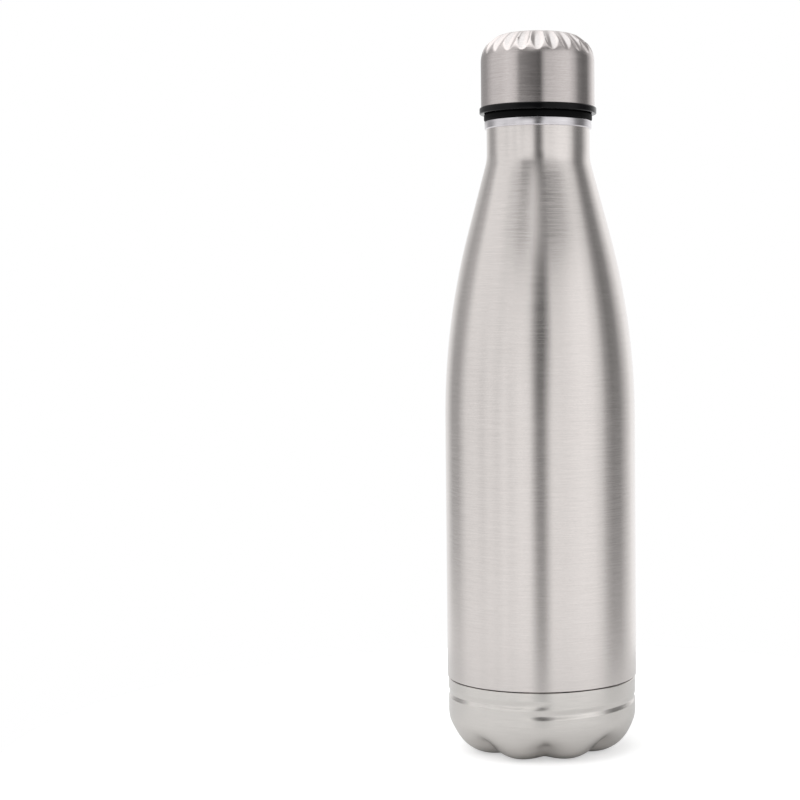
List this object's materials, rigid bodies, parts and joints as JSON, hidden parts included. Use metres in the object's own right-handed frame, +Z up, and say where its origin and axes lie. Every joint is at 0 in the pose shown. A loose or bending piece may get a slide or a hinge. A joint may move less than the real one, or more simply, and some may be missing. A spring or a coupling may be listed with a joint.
{
  "type": "water bottle diversion safe",
  "caption": "Stainless water bottle with a screw cap, a double-walled flask, and a dry compartment hidden above a screw-off base.",
  "frame": {"origin": "on the floor, under the middle of the base's feet", "axes": "+Z up along the bottle's axis; -Y is the side that faces the camera in the picture"},
  "size_m": [0.07, 0.07, 0.2624],
  "materials": {
    "brushed_steel": "brushed round the axis",
    "polished_steel": "polished",
    "flask_steel": "matt, as drawn",
    "braze_bead": "dull bead",
    "getter_grey": "sintered",
    "black_gloss": "glossy moulded",
    "foam": "foamed",
    "black_silicone": "matt"
  },
  "bodies": {
    "bottle": {"outer_shell": "brushed_steel", "mouth_ring": "polished_steel", "inner_flask": "flask_steel", "flask_base": "flask_steel", "bulkhead": "flask_steel", "vacuum_port_seal": "braze_bead", "getter": "getter_grey", "thread_sleeve": "polished_steel"},
    "cap_slider": {"cap_seal": "black_silicone"},
    "cap": {"cap_shell": "brushed_steel", "cap_core": "black_gloss", "cap_foam": "foam", "core_lid": "black_gloss"},
    "base_slider": {"base_seal": "black_silicone"},
    "base": {"base_cup": "brushed_steel", "base_tray": "flask_steel"}
  },
  "joints": [
    {"name": "cap_rise", "type": "slide", "parent": "bottle", "child": "cap_slider", "axis": [0, 0, 1], "range_m": [0, 0.024]},
    {"name": "cap_turn", "type": "hinge", "parent": "cap_slider", "child": "cap", "pos_m": [0, 0, 0.2335], "axis": [0, 0, 1], "range_deg": [0, 2160]},
    {"name": "base_drop", "type": "slide", "parent": "bottle", "child": "base_slider", "axis": [0, 0, -1], "range_m": [0, 0.018]},
    {"name": "base_turn", "type": "hinge", "parent": "base_slider", "child": "base", "pos_m": [0, 0, 0.0118], "axis": [0, 0, -1], "range_deg": [0, 1800]}
  ],
  "couplings": [
    {"joint": "cap_rise", "follows": "cap_turn", "m_per_rad": 0.00063662},
    {"joint": "base_drop", "follows": "base_turn", "m_per_rad": 0.00057296}
  ]
}
